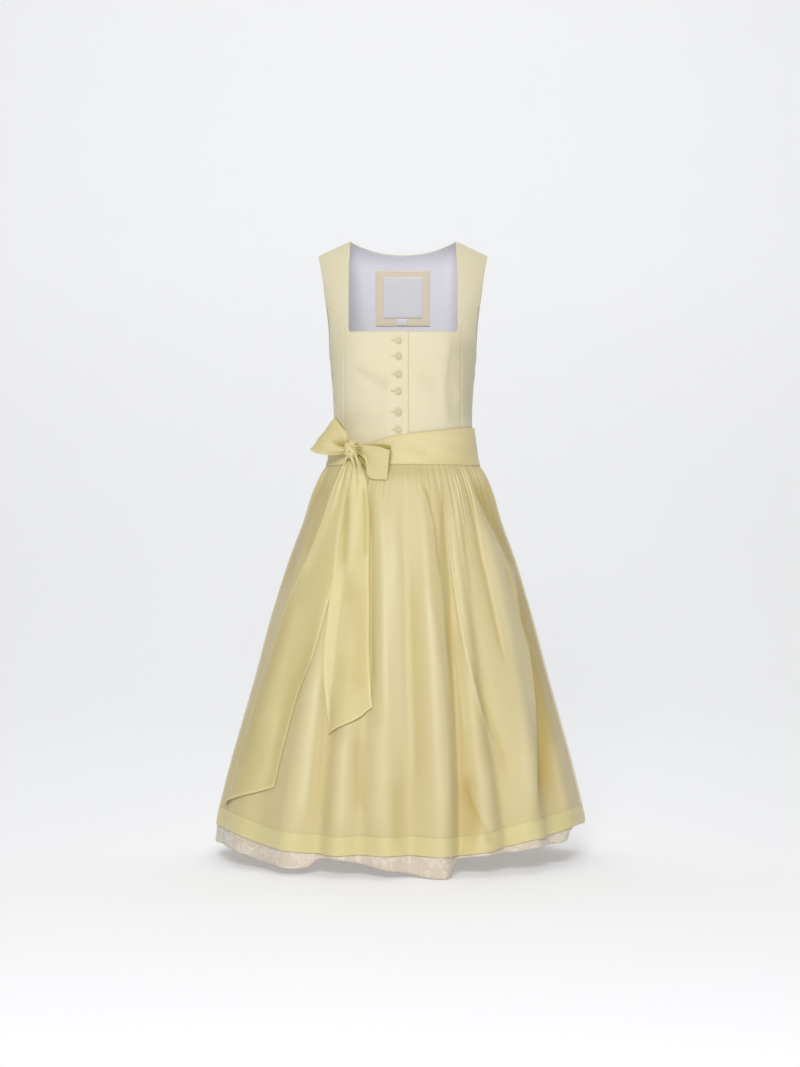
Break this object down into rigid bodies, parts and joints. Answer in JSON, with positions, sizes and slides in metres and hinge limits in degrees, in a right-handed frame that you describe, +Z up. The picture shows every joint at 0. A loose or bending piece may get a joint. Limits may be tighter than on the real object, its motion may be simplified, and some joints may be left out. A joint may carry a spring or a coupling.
{
  "type": "dirndl dress",
  "caption": "Sleeveless midi dirndl dress with square neck, buttoned bodice, gathered skirt, and a sheer apron tied with a sash bow; worn form, no wearer.",
  "frame": {"origin": "midway between the tops of the two shoulder straps, where the wearer's shoulders hold the dress up", "axes": "+Z up along the wearer's body, -Y towards the front of the dress, +X to the wearer's left"},
  "size_m": [0.6686, 0.4919, 1.1061],
  "materials": {
    "bodice_cloth": "pale cream-yellow plain-woven linen blend, matt with a slight silky bloom",
    "lining": "smooth lavender-white lining satin",
    "patch": "yellow bodice cloth patch behind the label",
    "label": "bare pale woven satin label",
    "button": "pale beige-gold cast button with a raised rim, satin",
    "skirt_brocade": "ivory tone-on-tone floral brocade with a satin figure",
    "apron_organza": "sheer pale yellow silk organza with a soft sheen",
    "sash_silk": "yellow silk taffeta, soft slubs and a low sheen"
  },
  "bodies": {
    "root": {"bodice_front_right": "bodice_cloth", "bodice_front_left": "bodice_cloth", "bodice_side_front_right": "bodice_cloth", "bodice_side_front_left": "bodice_cloth", "bodice_side_back_right": "bodice_cloth", "bodice_side_back_left": "bodice_cloth", "bodice_back": "bodice_cloth", "back_lining": "lining", "label_patch": "patch", "neck_label": "label", "size_label": "label", "button_1": "button", "button_2": "button", "button_3": "button", "button_4": "button", "button_5": "button", "button_6": "button", "skirt_front": "skirt_brocade", "skirt_back": "skirt_brocade", "apron": "apron_organza", "sash_band": "sash_silk", "sash_knot": "sash_silk", "bow_loop_left": "sash_silk", "bow_loop_right": "sash_silk", "sash_tail_long": "sash_silk", "sash_tail_short": "sash_silk"}
  },
  "joints": []
}
